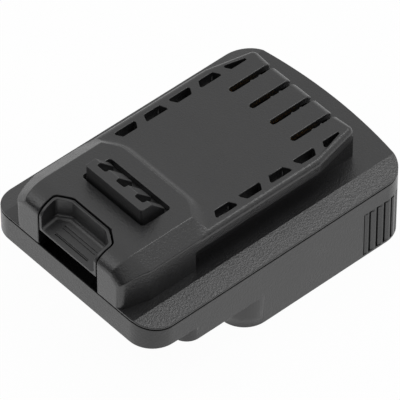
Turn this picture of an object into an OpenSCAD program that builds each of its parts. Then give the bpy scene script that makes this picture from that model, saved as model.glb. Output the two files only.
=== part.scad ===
// Slide-on battery adapter for cordless tools: a two-piece housing with a tool rail and a sprung
// latch on top, a battery socket underneath, and four contacts wired straight through.

/* [Housing] */
// Width of the housing
base_w = 80; // [78:1:96]
// Length of the housing, from the front face to the crown of the rear edge
base_l = 116; // [114:1:136]
// Depth of the housing below the deck
base_h = 29.5; // [28:0.5:38]
// Plan radius of the housing's four corners
corner_r = 10; // [7:0.5:12]
// Rise of the curved rear edge over its corners
rear_crown = 2.4; // [1:0.2:4]
// Thickness of the housing walls
wall = 2.4; // [1.8:0.1:2.8]
// Depth of the front ledge below the deck
ledge_h = 11; // [10.5:0.5:13]
// Start of the middle step, behind the front face
step_y = 15; // [13:0.5:20]
// Depth of the middle step below the deck
step_h = 16.7; // [15:0.1:19]
// Plan radius of the middle step's corners
step_r = 6; // [4:0.5:9]
// Start of the deep part, behind the front face
deep_y = 39.5; // [34:0.5:46]
// Thickness of the floor over the battery socket
floor_t = 2.4; // [1.8:0.1:2.8]

/* [Deck] */
// Width of the sloping band along each side of the deck
slope_w = 8; // [5:0.5:9]
// Drop of the sloping band at the outer wall
slope_drop = 1.8; // [0.8:0.1:2]
// Thickness of the cover's visible rim
rim_t = 0.6; // [0.4:0.1:0.8]
// Height of the shadow gap under the rim
reveal_h = 0.55; // [0.2:0.05:0.6]
// Depth of the shadow gap under the rim
reveal_d = 0.7; // [0.4:0.1:1]
// Depth of the cover's plug inside the housing walls
plug_h = 2.8; // [2.6:0.1:3.4]
// Clearance between the plug and the housing walls
plug_gap = 0.15; // [0.1:0.05:0.4]

/* [Latch block] */
// Width of the latch block at the front face
block_front_w = 51.6; // [50:0.2:55]
// Length over which the block widens to the rail's width
block_flare_l = 11; // [10.5:0.5:14]
// Height of the block's vertical side walls over the deck
block_side_h = 12.9; // [12:0.1:13.4]
// Height of the block's flat top over the deck
block_h = 17.2; // [16:0.1:19]
// Width of the block's flat top
block_top_w = 44.4; // [40:0.2:48]
// Length of the block's flat top
block_top_l = 37.7; // [36:0.1:42]
// Length of the sloping step from the block down to the rail
block_step_l = 5.1; // [3:0.1:7]
// Length over which the block's top falls away to the front face
block_fall_l = 10; // [7:0.5:10.5]
// Height by which it falls
block_fall_h = 5; // [2:0.2:5.4]
// Plan radius of the block's front corners
block_corner_r = 2.2; // [1:0.2:4]
// Radius between the block's side walls and its shoulders
shoulder_r = 1; // [0.6:0.1:2]
// Plan radius of the block's rear corners
block_rear_r = 8; // [2:0.5:10]

/* [Rail] */
// Width of the tool rail
rail_w = 57.2; // [54:0.2:60]
// Height of the rail's top over the deck
rail_h = 13.5; // [13:0.1:15]
// Height of the groove under the rail's flanges
groove_h = 8.2; // [6:0.1:9]
// Start of the rail groove, behind the front face
groove_y = 29.8; // [27:0.2:33]
// Width of the neck under the flanges
neck_w = 48; // [46:0.2:49]
// Room between the rail's rear end and the rear edge of the housing
rail_rear = 13.6; // [10:0.2:16]
// Length of the rail's tapered end
rail_taper_l = 19; // [10:0.5:26]
// Width of the rail at its rear end
rail_end_w = 50; // [46:0.5:54]
// Radius of the rail's top edge
rail_edge_r = 2; // [0.8:0.1:2.2]
// Plan radius of the rail's rear corners
rail_corner_r = 2.6; // [2.4:0.1:5]
// Thickness of the cover's roof
roof_t = 2.4; // [1.8:0.1:2.8]
// Thickness of the neck's side walls
neck_wall = 3.4; // [3:0.1:4]

/* [Edge pockets] */
// Number of paired pockets along each edge of the rail
pocket_count = 4; // [2:1:4]
// Centre of the first pocket, behind the front face
pocket_y = 46.2; // [45:0.2:50]
// Room between the middle of the last, pointed pocket and the rail's rear end
pocket_rear = 9.2; // [8:0.2:12]
// Width of the webs between the pockets
pocket_web = 3.9; // [2:0.1:4.5]
// Difference between the long and the short side of a pocket
pocket_lean = 3.7; // [2:0.1:5]
// Width of a pocket
pocket_w = 3; // [2:0.1:3.2]
// Width of the rail left outside the pockets
pocket_margin = 3.3; // [2.6:0.1:4]
// Depth of the pockets
pocket_depth = 4.2; // [2:0.1:4.4]
// Corner radius of the pockets
pocket_r = 0.6; // [0.2:0.1:0.9]

/* [Contacts] */
// Spacing of the contact slots
slot_pitch = 10; // [9:0.1:11]
// Width of a contact slot
slot_w = 2.2; // [1.6:0.1:3]
// Length of a contact slot, open at the rail's rear end
slot_l = 19.3; // [16:0.1:22]
// Plan radius of the fingers' corners beside the slots' mouths
finger_r = 1.1; // [0.4:0.1:1.6]
// Rise of the small ribs on the right wall of each slot
slot_rib_h = 0.4; // [0.2:0.05:0.6]
// Thickness of the contact strip
strip_t = 0.5; // [0.4:0.05:0.8]
// Thickness of the tool's blade, which sets the gap of the clips
blade_t = 0.8; // [0.6:0.05:1]
// Spacing of the battery blades
blade_pitch = 9; // [8:0.1:10]
// Free length of the battery blades
blade_l = 13; // [10:0.5:16]
// Height of the battery blades
blade_h = 6; // [4:0.2:7]
// Diameter of the leads over their insulation
lead_d = 2.2; // [1.6:0.1:2.6]

/* [Latch] */
// Travel of the latch when the button is pressed
latch_travel = 5; // [4:0.1:5.2]
// Clearance round the latch where it passes the cover
latch_gap = 0.6; // [0.4:0.05:0.8]
// Width of the latch tooth
tooth_w = 27.4; // [24:0.2:28]
// Front face of the tooth, behind the front face of the housing
tooth_y = 19.7; // [19:0.1:21]
// Length of the tooth at its base
tooth_l = 10; // [9:0.1:11]
// Length of the tooth's flat top
tooth_flat = 4.4; // [3:0.1:6]
// Height of the tooth over the block
tooth_h = 5.6; // [4:0.1:6.5]
// Width of the cores between the tooth's fins
core_w = 4.3; // [3:0.1:5]
// Room beside the tooth in its opening
tooth_side = 1.2; // [0.8:0.1:1.6]
// Room behind the tooth in its opening
tooth_room = 1.6; // [0.8:0.1:2]
// Width of the button pocket at the front face
button_front_w = 29; // [26:0.2:30]
// Largest width of the button pocket
button_w = 29.4; // [27:0.2:32]
// Length of the button pocket
button_l = 11; // [10.5:0.1:12]
// Width of the straight rear edge of the button pocket
button_rear_w = 18; // [14:0.2:20]
// Length of the button pocket's straight sides
button_side_l = 7.4; // [5:0.1:8]
// Plan radius of the button's corners
button_r = 2.4; // [1.8:0.1:3]
// Height of the button's front lip over the deck
lip_h = 7.2; // [6.4:0.1:8]
// Outer diameter of the latch springs
spring_d = 7; // [6:0.1:8]
// Wire diameter of the latch springs
spring_wire = 0.8; // [0.5:0.05:1]
// Number of turns of each latch spring
spring_turns = 5; // [4:1:6]
// Distance between the two latch springs
spring_pitch = 22; // [18:0.5:26]

/* [Battery socket] */
// Width of the socket between its side walls
socket_w = 58; // [54:0.5:60]
// Width of the socket's mouth between its rails
mouth_w = 48; // [44:0.5:50]
// Height of the socket's rails
socket_rail_h = 6; // [4:0.2:7]
// Room between the socket's end and the rear edge of the housing
socket_rear = 12; // [10:0.5:16]
// Length of the catch window for the battery's latch
catch_l = 6; // [4:0.5:8]
// Width of the catch window for the battery's latch
catch_w = 18; // [12:0.5:24]

/* [Screws and grips] */
// Diameter of the housing screws
screw_d = 3; // [2.5:0.1:3.5]
// Diameter of the small screws that hold the contact blocks
small_screw_d = 2.5; // [2:0.1:2.6]
// Radial clearance of the screws in their holes
screw_gap = 0.1; // [0.05:0.05:0.2]
// Number of grip flutes at each rear corner
flute_count = 6; // [3:1:6]
// Spacing of the grip flutes
flute_pitch = 3.25; // [2.6:0.05:3.4]
// Depth of the line along the front and the top of each flute
flute_depth = 0.9; // [0.5:0.1:1.2]
// Width of that line
flute_line = 0.6; // [0.3:0.05:0.8]
// Start of the grip flutes, ahead of the rear edge
flute_start = 20.8; // [18:0.2:26]
// Width of the narrow flute ahead of the others
flute_lead = 2.2; // [1.6:0.1:2.6]
// Top of the grip flutes, below the deck
flute_top = 9.4; // [8:0.2:12]
// Foot of the grip flutes, over the bottom of the housing
flute_foot = 1; // [0.6:0.1:4]

/* [Hidden] */
$fn = 64;

// Every module draws in a working frame: x from the middle, y behind the front face, z over the deck.
cut = 1;
half_w = base_w / 2;
deck_half = half_w - slope_w;
corner_x = half_w - corner_r;
rear_r = (corner_x * corner_x + rear_crown * rear_crown) / (2 * rear_crown);
rear_arc_y = base_l - rear_r;
rear_corner_y = rear_arc_y + sqrt(pow(rear_r - corner_r, 2) - corner_x * corner_x);
floor_z = floor_t - ledge_h;

// Latch block and rail
rail_l = base_l - rail_rear;
rail_half = rail_w / 2;
neck_half = neck_w / 2;
block_front_half = block_front_w / 2;
block_top_half = block_top_w / 2;
block_bend = 6;
bend_share = 0.65;
step_spread = 1.6;
block_taper = rail_half - block_top_half;
shoulder_turn = atan2(block_taper, block_h - block_side_h);
top_share = tan((90 - shoulder_turn) / 2);
shoulder_share = 0.75;
block_low_z = block_side_h - max(shoulder_share * block_fall_h, shoulder_r) - 0.1;
flare_slope = (rail_half - block_front_half) / block_flare_l;
roll_steps = 10;
roll_places = [for (k = [0:roll_steps]) block_fall_l * (1 - cos(90 * k / roll_steps))];
block_roof_z = block_h - roof_t;
rail_roof_z = rail_h - roof_t;
cavity_half = neck_half - neck_wall;
cavity_y = 6;
cavity_split_y = block_top_l - roof_t;
pocket_pitch = (rail_l - pocket_rear - pocket_y) / pocket_count;
pocket_long = pocket_pitch - pocket_web + pocket_lean / 2;
pocket_short = pocket_pitch - pocket_web - pocket_lean / 2;
pocket_outer = rail_half - pocket_margin;
pocket_inner = pocket_outer - pocket_w;
last_pocket_y = pocket_y + pocket_count * pocket_pitch - pocket_short / 2;
last_pocket_l = 6.7;
last_pocket_tip = 0.8;

// Contacts: four ways, from the left to the right
way_count = 4;
way_colours = ["#b3241f", "#d8d4c8", "#c9a227", "#1c1c1e"];
slot_start_y = rail_l - slot_l;
slot_floor_z = groove_h / 4;
slot_rib_d = 1.6;
slot_rib_places = [0.44, 0.63];
carrier_gap = 0.2;
carrier_l = 17;
carrier_h = 13;
carrier_back = rail_l - wall - carrier_gap;
carrier_front = carrier_back - carrier_l;
carrier_z = rail_roof_z - carrier_h;
carrier_wall = 2;
cell_w = slot_pitch * 0.6;
cell_z = carrier_z + carrier_wall;
carrier_half = (way_count - 1) / 2 * slot_pitch + cell_w / 2 + carrier_wall;
ear_l = 6.5;
ear_t = 2.5;
ear_z = 1.5;
ear_x = slot_pitch * 1.3;
ear_y = carrier_front - ear_l / 2;
clip_h = 9.5;
clip_half = cell_w / 2 - 0.4;
clip_l = 11;
clip_y = carrier_back - 2.8 - clip_l;
tail_l = 4;
tail_y = clip_y + (clip_l - tail_l) / 2;
tail_gap = 0.1;
wire_z = (floor_z + carrier_z) / 2;
clip_tail_z = wire_z - lead_d / 2;

socket_end = base_l - socket_rear;
socket_half = socket_w / 2;
mouth_half = mouth_w / 2;
socket_rail_z = socket_rail_h - base_h;
catch_back = 4;
catch_y = deep_y + catch_back;
block_l = 8;
blade_cover = 2;
blade_block_h = blade_h + 2 * blade_cover;
blade_block_half = mouth_half;
blade_block_y = socket_end - block_l;
blade_top_z = -ledge_h - blade_cover;
blade_tail_y = blade_block_y + (block_l - tail_l) / 2;
blade_tail_z = wire_z + lead_d / 2;
collar_half = (way_count - 1) / 2 * blade_pitch + 3;
collar_wall = 1;
collar_gap = 0.2;
block_screw_x = (collar_half + blade_block_half) / 2;
block_screw_y = socket_end - block_l / 2;

// Latch: the plate slides under the block's roof, and the springs push it up
latch_top_gap = 0.3;
front_skin = 0.6;
chamber_wall = 1.6;
chamber_depth = 5;
plate_t = 2.5;
plate_top = block_roof_z - latch_top_gap;
plate_z = plate_top - plate_t;
plate_half = cavity_half - latch_gap;
plate_front = tooth_y - 4;
plate_back = cavity_split_y - latch_gap;
lip_t = 1.1;
lip_front = 0.1;
tray_rim = 1.1;
tray_back = button_l - latch_gap - tray_rim;
tray_foot_r = 1.4;
tray_foot_steps = 3;
tray_sink = 0.2;
tread_places = [1.5, 2.1, 4.7, 5.8];
tread_w = 0.45;
tread_h = 0.5;
tread_l = 16;
tooth_end = tooth_y + tooth_l;
tooth_r = 0.8;
core_pitch = tooth_w / 3;
core_y = tooth_y + 2.8;
core_r = 0.8;
spring_y = tooth_y + 4.5;
spring_foot_z = -3;
spring_head_z = plate_z - 3;
spring_pin_d = spring_d - 2 * spring_wire - 0.8;
spring_pin_l = 3;
seat_d = spring_d + 2;
curl_rings = 8;
curl_sides = 6;

// Screws
head_ratio = 1.9;
head_h = 2;
head_sink = 0.4;
boss_drop = 4.5;
boss_z = -plug_h - boss_drop;
boss_wall = 2;
boss_d = screw_d + 2 * boss_wall;
pilot_top = -rim_t - slope_drop;
front_screw = [corner_x + 0.5, corner_r - 0.5];
screw_back = 4;
rear_screw = [half_w - wall - plug_gap - boss_d / 2, rear_corner_y - screw_back];
boss_web = boss_d * 0.6;
flute_share = 0.85;
flute_panel = 0.3;
flute_lead_line = 0.3;

function way_x(way, pitch) = (way - (way_count - 1) / 2) * pitch;

// Points of an outline with an arc of the given radius at each corner
function rounded(points, radii, steps = 5) = let (n = len(points)) [for (i = [0:n - 1])
    let (p = points[i], a = points[(i + n - 1) % n] - p, b = points[(i + 1) % n] - p,
        u = a / norm(a), v = b / norm(b), half = acos(u * v) / 2, r = radii[i])
    each r == 0 ? [p] : let (middle = p + (u + v) / norm(u + v) * r / sin(half),
        from = p + u * r / tan(half) - middle, to = p + v * r / tan(half) - middle,
        start = atan2(from.y, from.x), turn = atan2(cross(from, to), from * to))
        [for (k = [0:steps]) middle + r * [cos(start + turn * k / steps), sin(start + turn * k / steps)]]];

// Points of a half outline, followed by those of its mirror image
function both_sides(points) = concat(points,
    [for (k = [len(points) - 1:-1:0]) [-points[k].x, points[k].y]]);

module place() translate([0, -base_l / 2, base_h]) children();

module mirrored() {
    children();
    mirror([1, 0, 0]) children();
}

// Shapes a profile drawn in y and z, and gives it a width across the part
module across(width) rotate([90, 0, 90]) translate([0, 0, -width / 2]) linear_extrude(width) children();

// Shapes a profile drawn in x and z, and gives it a length from one y to another
module along(from_y, to_y) translate([0, to_y, 0]) rotate([90, 0, 0])
    linear_extrude(to_y - from_y) children();

// Lifts a plan outline from one height to another
module rise(from_z, to_z) translate([0, 0, from_z]) linear_extrude(to_z - from_z) children();

// Plan of the housing, drawn inwards by an inset, with its front edge and front corners as given
module outline(inset = 0, front = 0, front_r = corner_r) {
    half = half_w - inset;
    r = corner_r - inset;
    fr = max(front_r - inset, 0.5);
    fy = front + inset + fr;
    reach = (rear_r - inset) / (rear_r - corner_r);
    tangent = [corner_x * reach, rear_arc_y + (rear_corner_y - rear_arc_y) * reach];
    translate([-half, fy]) square([2 * half, rear_corner_y - fy]);
    translate([fr - half, front + inset]) square([2 * (half - fr), fr + cut]);
    for (side = [-1, 1]) {
        translate([side * (half - fr), fy]) circle(fr);
        translate([side * corner_x, rear_corner_y]) circle(r);
    }
    polygon([[-corner_x, rear_corner_y - cut], [corner_x, rear_corner_y - cut], [corner_x, rear_corner_y],
        tangent, [-tangent.x, tangent.y], [-corner_x, rear_corner_y]]);
    intersection() {
        translate([0, rear_arc_y]) circle(rear_r - inset, $fn = 720);
        translate([-tangent.x, tangent.y - cut]) square([2 * tangent.x, rear_crown + corner_r]);
    }
}

// Everything under the deck and its two sloping bands, lowered by a drop
module under_deck(drop) along(-cut, base_l + cut) polygon([[-half_w - cut, -base_h - cut],
    [half_w + cut, -base_h - cut], [half_w + cut, -drop - slope_drop * (slope_w + cut) / slope_w],
    [deck_half, -drop], [-deck_half, -drop],
    [-half_w - cut, -drop - slope_drop * (slope_w + cut) / slope_w]]);

// Screw with a crossed recess, head down at z = 0, pointing up
module screw(d, length) {
    head_d = d * head_ratio;
    difference() {
        union() {
            cylinder(d = head_d, h = head_h);
            cylinder(d = d, h = head_h + length);
        }
        for (turn = [0, 90]) rotate(turn)
            translate([-d / 2, -d / 10, -cut]) cube([d, d / 5, cut + head_h / 2]);
    }
}

// Round tube of triangles swept along a path, with square ends
module tube(path, r, sides) {
    last = len(path) - 1;
    function direction(k) = path[min(k + 1, last)] - path[max(k - 1, 0)];
    function ring(k) = let (t = direction(k) / norm(direction(k)),
        u = cross([0, 0, 1], t) / norm(cross([0, 0, 1], t)), v = cross(t, u))
        [for (i = [0:sides - 1]) path[k] + r * (cos(360 * i / sides) * u + sin(360 * i / sides) * v)];
    function corner(k, i) = k * sides + i % sides;
    polyhedron([for (k = [0:last]) each ring(k)], concat(
        [for (k = [0:last - 1], i = [0:sides - 1]) each [
            [corner(k, i), corner(k + 1, i), corner(k + 1, i + 1)],
            [corner(k, i), corner(k + 1, i + 1), corner(k, i + 1)]]],
        [for (i = [1:sides - 2]) [corner(0, 0), corner(0, i), corner(0, i + 1)]],
        [for (i = [1:sides - 2]) [corner(last, 0), corner(last, i + 1), corner(last, i)]]));
}

// Plan of the front button pocket, drawn inwards by a gap and open at the front
module button_plan(gap) {
    r = button_r - gap / 2;
    polygon(rounded(both_sides([[button_front_w / 2 - gap, -cut],
        [button_w / 2 - gap, button_side_l - gap / 2], [button_rear_w / 2 - gap / 2, button_l - gap]]),
        [0, r, r, r, r, 0]));
}

// Room for the button's travel behind a thin skin at the front face
module button_relief() intersection() {
    button_plan(0);
    translate([-button_w / 2, front_skin]) square([button_w, button_l]);
}

// Grip flutes that follow the side wall and the rear corner: each has a deep line along its front and its
// top, and a panel that rises to the wall
module flutes() for (k = [-1:flute_count - 1]) {
    lead = k < 0;
    run = base_l - flute_start + (lead ? -flute_lead : k * flute_pitch) - rear_corner_y;
    turn = run > 0 ? run / corner_r * 180 / PI : 0;
    end = (lead ? flute_lead : flute_pitch) * flute_share;
    line = lead ? flute_lead_line : flute_line;
    translate([corner_x, rear_corner_y]) rotate(turn) translate([corner_r, min(run, 0)]) {
        rise(flute_foot - base_h, -flute_top) polygon([[cut, 0], [-flute_depth, 0], [-flute_depth, line],
            [-flute_panel, line], [0, end], [cut, end]]);
        rise(-flute_top - line, -flute_top) polygon([[cut, 0], [-flute_depth, 0], [0, end], [cut, end]]);
    }
}

// Lower shell: stepped tub with the battery socket underneath
module lower_housing() color("#3b3b3c") place() difference() {
    union() {
        difference() {
            union() {
                intersection() {
                    union() {
                        rise(-ledge_h, cut) outline();
                        rise(-step_h, -ledge_h + cut) outline(0, step_y, step_r);
                        rise(-base_h, -step_h + cut) outline(0, deep_y);
                    }
                    under_deck(rim_t + reveal_h);
                }
                intersection() {
                    rise(-ledge_h, cut) outline(reveal_d);
                    under_deck(rim_t);
                }
            }
            rise(floor_z, 2 * cut) outline(wall);
            difference() {
                rise(wall - base_h, floor_z + cut) outline(wall, deep_y);
                translate([-socket_half - wall, 0, -base_h])
                    cube([socket_w + 2 * wall, socket_end + wall, base_h + floor_z]);
            }
        }
        mirrored() {
            translate([front_screw.x, front_screw.y, floor_z - cut])
                cylinder(d = boss_d, h = boss_z - floor_z + cut);
            translate([rear_screw.x, rear_screw.y, -base_h]) {
                cylinder(d = boss_d, h = boss_z + base_h);
                translate([0, -boss_web / 2, 0])
                    cube([half_w - wall / 2 - rear_screw.x, boss_web, boss_z + base_h]);
            }
            translate([spring_pitch / 2, spring_y, floor_z - cut]) {
                cylinder(d = seat_d, h = spring_foot_z - floor_z + cut);
                cylinder(d = spring_pin_d, h = spring_foot_z - floor_z + cut + spring_pin_l);
            }
        }
    }
    translate([-socket_half, -cut, socket_rail_z])
        cube([socket_w, socket_end + cut, -ledge_h - socket_rail_z]);
    translate([-mouth_half, -cut, -base_h - cut])
        cube([mouth_w, socket_end + cut, socket_rail_h + 2 * cut]);
    rise(-chamber_depth, cut) button_relief();
    translate([-catch_w / 2, catch_y, -ledge_h - cut]) cube([catch_w, catch_l, floor_t + 2 * cut]);
    translate([-collar_half - collar_gap, blade_block_y + collar_wall - collar_gap, -ledge_h - cut])
        cube([2 * (collar_half + collar_gap), block_l - 2 * (collar_wall - collar_gap), floor_t + 2 * cut]);
    mirrored() {
        translate([front_screw.x, front_screw.y, -ledge_h - cut]) screw_well();
        translate([rear_screw.x, rear_screw.y, -base_h - cut]) screw_well();
        translate([block_screw_x, block_screw_y, -ledge_h - cut])
            cylinder(d = small_screw_d + 2 * screw_gap, h = floor_t + 2 * cut);
        flutes();
    }
}

// Recess for a screw head at the bottom of a hole that runs up to the cover's boss
module screw_well() {
    cylinder(d = screw_d * head_ratio + 4 * screw_gap, h = head_sink + head_h + cut);
    cylinder(d = screw_d + 2 * screw_gap, h = base_h + cut);
}

// Rear end of the latch block in plan, with its corners cut back and rounded
module block_rear_plan(half, length, bend, r) polygon(rounded(both_sides([[half, block_flare_l],
    [half, length - bend * bend_share], [half - bend, length]]), [0, 0, r, r, 0, 0]));

// How far a rounded edge of a given length and height is drawn in at a distance behind the front face
function rolled(y, length, height) = y < length ? height * (1 - sqrt(1 - pow(1 - y / length, 2))) : 0;

// How far the block's top has fallen at a distance behind the front face
function fallen(y) = rolled(y, block_fall_l, block_fall_h);

// Half width of the block's side walls at a distance behind the front face
function block_half(y) = min(block_front_half + flare_slope * y, rail_half)
    - rolled(y, block_corner_r, block_corner_r);

// Section of the latch block across its length, at a distance behind the front face
module block_section(y) {
    drop = fallen(y);
    r = max(shoulder_r - drop, 0);
    polygon(rounded(both_sides([[block_half(y), block_low_z],
        [block_half(y), block_side_h - shoulder_share * drop],
        [block_top_half - top_share * drop, block_h - drop]]), [0, r, 0, 0, r, 0]));
}

// Corner of the rail: a disc with a rounded top edge
module rail_corner(x, y) translate([x, y, 0]) rotate_extrude($fn = 32) {
    translate([0, groove_h]) square([rail_corner_r, rail_h - rail_edge_r - groove_h]);
    translate([0, groove_h]) square([rail_corner_r - rail_edge_r, rail_h - groove_h]);
    intersection() {
        translate([rail_corner_r - rail_edge_r, rail_h - rail_edge_r]) circle(rail_edge_r);
        translate([0, groove_h]) square([rail_corner_r, rail_h]);
    }
}

// Raised latch block: side walls, and a top with shoulders, a front that falls away and a step to the rail
module latch_block() {
    slice = 0.01;
    places = concat(roll_places, [block_flare_l, groove_y]);
    rise(-rim_t, block_low_z + slice) polygon(both_sides([for (y = places) [block_half(y), y]]));
    hull() {
        for (y = places) along(y, y + slice) block_section(y);
        rise(block_side_h - slice, block_side_h) block_rear_plan(rail_half - rail_edge_r / 3,
            block_top_l + block_step_l, block_bend * step_spread, block_rear_r * step_spread);
        rise(block_h - slice, block_h) block_rear_plan(block_top_half, block_top_l, block_bend, block_rear_r);
    }
}

// Flanged tool rail behind the block, narrowed at its rear end
module tool_rail() {
    hull() mirrored() {
        rail_corner(rail_half - rail_corner_r, groove_y - rail_corner_r);
        rail_corner(rail_half - rail_corner_r, rail_l - rail_taper_l);
        rail_corner(rail_end_w / 2 - rail_corner_r, rail_l - rail_corner_r);
    }
    translate([-neck_half, groove_y - cut, -rim_t])
        cube([neck_w, rail_l - groove_y + cut, groove_h + rim_t + cut]);
}

// Plan of one edge pocket: its long side lies outwards or inwards
module pocket_plan(outwards) {
    ends = outwards ? [pocket_short, pocket_long] : [pocket_long, pocket_short];
    polygon(rounded([[pocket_inner, -ends[0] / 2], [pocket_outer, -ends[1] / 2],
        [pocket_outer, ends[1] / 2], [pocket_inner, ends[0] / 2]], pocket_r * [1, 1, 1, 1]));
}

// Pockets along the right edge of the rail, the last one pointed to follow the taper
module edge_pockets() rise(rail_h - pocket_depth, rail_h + cut) {
    for (k = [0:pocket_count - 1]) translate([0, pocket_y + k * pocket_pitch]) pocket_plan(k % 2 == 0);
    translate([0, last_pocket_y]) polygon(rounded([[pocket_inner, 0], [pocket_outer, -pocket_lean / 2],
        [pocket_inner + last_pocket_tip, last_pocket_l], [pocket_inner, last_pocket_l]],
        pocket_r * [1, 1, 0.4, 0.4]));
}

// Plan of a contact slot: round at its front end, with two ribs, and flared between the fingers' corners
module slot_plan() difference() {
    union() {
        translate([0, slot_start_y + slot_w / 2]) circle(d = slot_w);
        translate([-slot_w / 2, slot_start_y + slot_w / 2]) square([slot_w, slot_l]);
        translate([-slot_w / 2 - finger_r, rail_l - finger_r])
            square([slot_w + 2 * finger_r, finger_r + cut]);
    }
    for (side = [-1, 1]) translate([side * (slot_w / 2 + finger_r), rail_l - finger_r]) circle(finger_r);
    for (share = slot_rib_places)
        translate([(slot_w + slot_rib_d) / 2 - slot_rib_h, slot_start_y + share * slot_l])
            circle(d = slot_rib_d);
}

// Upper shell: deck, latch block and tool rail, with room for the latch and the contacts inside
module upper_cover() color("#454546") place() difference() {
    union() {
        difference() {
            union() {
                difference() {
                    intersection() {
                        rise(-slope_drop - rim_t - cut, cut) outline();
                        under_deck(0);
                    }
                    under_deck(rim_t);
                }
                intersection() {
                    rise(-plug_h, cut) outline(wall + plug_gap);
                    under_deck(rim_t / 2);
                }
                latch_block();
                tool_rail();
            }
            translate([-cavity_half, cavity_y, -plug_h - cut])
                cube([2 * cavity_half, cavity_split_y - cavity_y, block_roof_z + plug_h + cut]);
            translate([-cavity_half, cavity_split_y - cut, -plug_h - cut])
                cube([2 * cavity_half, rail_l - wall - cavity_split_y + cut, rail_roof_z + plug_h + cut]);
        }
        translate([-cavity_half, button_l + latch_gap, -plug_h])
            cube([2 * cavity_half, chamber_wall, plate_z - latch_travel - latch_gap + plug_h]);
        mirrored() {
            for (p = [front_screw, rear_screw]) translate([p.x, p.y, boss_z])
                cylinder(d = boss_d, h = boss_drop + plug_h + pilot_top + rim_t / 2);
            translate([ear_x, ear_y, ear_z + ear_t])
                cylinder(d = small_screw_d + 2 * boss_wall, h = rail_roof_z - ear_z - ear_t + roof_t / 2);
        }
    }
    rise(-plug_h - cut, block_h + cut) button_plan(0);
    rise(0, block_h + cut) polygon(rounded(both_sides([[tooth_w / 2 + tooth_side, tooth_y - latch_gap],
        [tooth_w / 2 + tooth_side, tooth_end + tooth_room]]), tooth_side * [1, 1, 1, 1]));
    for (way = [0:way_count - 1])
        rise(slot_floor_z, rail_h + cut) translate([way_x(way, slot_pitch), 0]) slot_plan();
    mirrored() {
        edge_pockets();
        for (p = [front_screw, rear_screw]) translate([p.x, p.y, boss_z - cut])
            cylinder(d = screw_d + 2 * screw_gap, h = pilot_top - boss_z);
        translate([ear_x, ear_y, ear_z + ear_t - cut])
            cylinder(d = small_screw_d + 2 * screw_gap, h = rail_roof_z - ear_z - ear_t + cut);
    }
}

// Finger tray of the latch: its rims follow the block's top, and its grooved floor has a rounded foot
module button_tray() difference() {
    slice = 0.01;
    intersection() {
        rise(lip_h - lip_t, block_h) button_plan(latch_gap);
        across(base_w) polygon(concat([[lip_front, lip_h - lip_t]],
            [for (y = concat(lip_front, roll_places, button_l)) if (y >= lip_front)
                [y, block_h - tray_sink - fallen(y)]], [[button_l, lip_h - lip_t]]));
    }
    hull() {
        for (k = [0:tray_foot_steps]) let (turn = 90 * k / tray_foot_steps)
            translate([0, 0, lip_h + tray_foot_r * (1 - cos(turn))]) linear_extrude(slice)
                button_plan(latch_gap + tray_rim + tray_foot_r * (1 - sin(turn)));
        rise(block_h, block_h + cut) button_plan(latch_gap + tray_rim);
    }
    for (place = tread_places)
        translate([-tread_l / 2, place, lip_h - tread_h]) cube([tread_l, tread_w, tread_h + cut]);
}

// Tooth that locks behind the tool's catch: a ramp cored from behind, with four fins
module tooth() difference() {
    intersection() {
        across(tooth_w) polygon([[tooth_y, plate_z], [tooth_y, block_h + tooth_h],
            [tooth_y + tooth_flat, block_h + tooth_h], [tooth_end, block_h], [tooth_end, plate_z]]);
        rise(plate_z, block_h + tooth_h) polygon(rounded(both_sides([[tooth_w / 2, tooth_y],
            [tooth_w / 2, tooth_end + cut]]), tooth_r * [1, 0, 0, 1]));
    }
    for (k = [-1:1]) rise(plate_top, block_h + tooth_h + cut) translate([k * core_pitch, 0])
        polygon(rounded(both_sides([[core_w / 2, core_y], [core_w / 2, tooth_end + cut]]),
            core_r * [1, 0, 0, 1]));
}

// One moulding: finger tray, sliding plate and tooth, with a seat for each spring
module release_latch() color("#2a2a2b") place() {
    button_tray();
    tooth();
    translate([-button_rear_w / 2 + latch_gap, tray_back, plate_z])
        cube([button_rear_w - 2 * latch_gap, tooth_y - tray_back, plate_t]);
    translate([-plate_half, plate_front, plate_z])
        cube([2 * plate_half, plate_back - plate_front, plate_t]);
    mirrored() translate([spring_pitch / 2, spring_y, spring_head_z]) {
        cylinder(d = seat_d, h = plate_z - spring_head_z + cut);
        translate([0, 0, -spring_pin_l]) cylinder(d = spring_pin_d, h = spring_pin_l + cut);
    }
}

// Path of a latch spring's wire, from its foot to its head
function spring_path() = let (rise_z = spring_head_z - spring_foot_z - spring_wire,
    r = (spring_d - spring_wire) / 2, count = spring_turns * curl_rings)
    [for (k = [0:count]) [r * cos(360 * k / curl_rings), r * sin(360 * k / curl_rings),
        spring_foot_z + spring_wire / 2 + rise_z * k / count]];

// Least gap between the wire and the turns beside it
function spring_gap(path) = min([for (a = [0:len(path) - 1], b = [a + curl_rings / 2:1:len(path) - 1])
    norm(path[a] - path[b])]) - spring_wire;

echo(spring_least_gap = spring_gap(spring_path()));

module latch_spring(side) color("#b8babd") place() translate([side * spring_pitch / 2, spring_y, 0])
    tube(spring_path(), spring_wire / 2, curl_sides);

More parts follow.
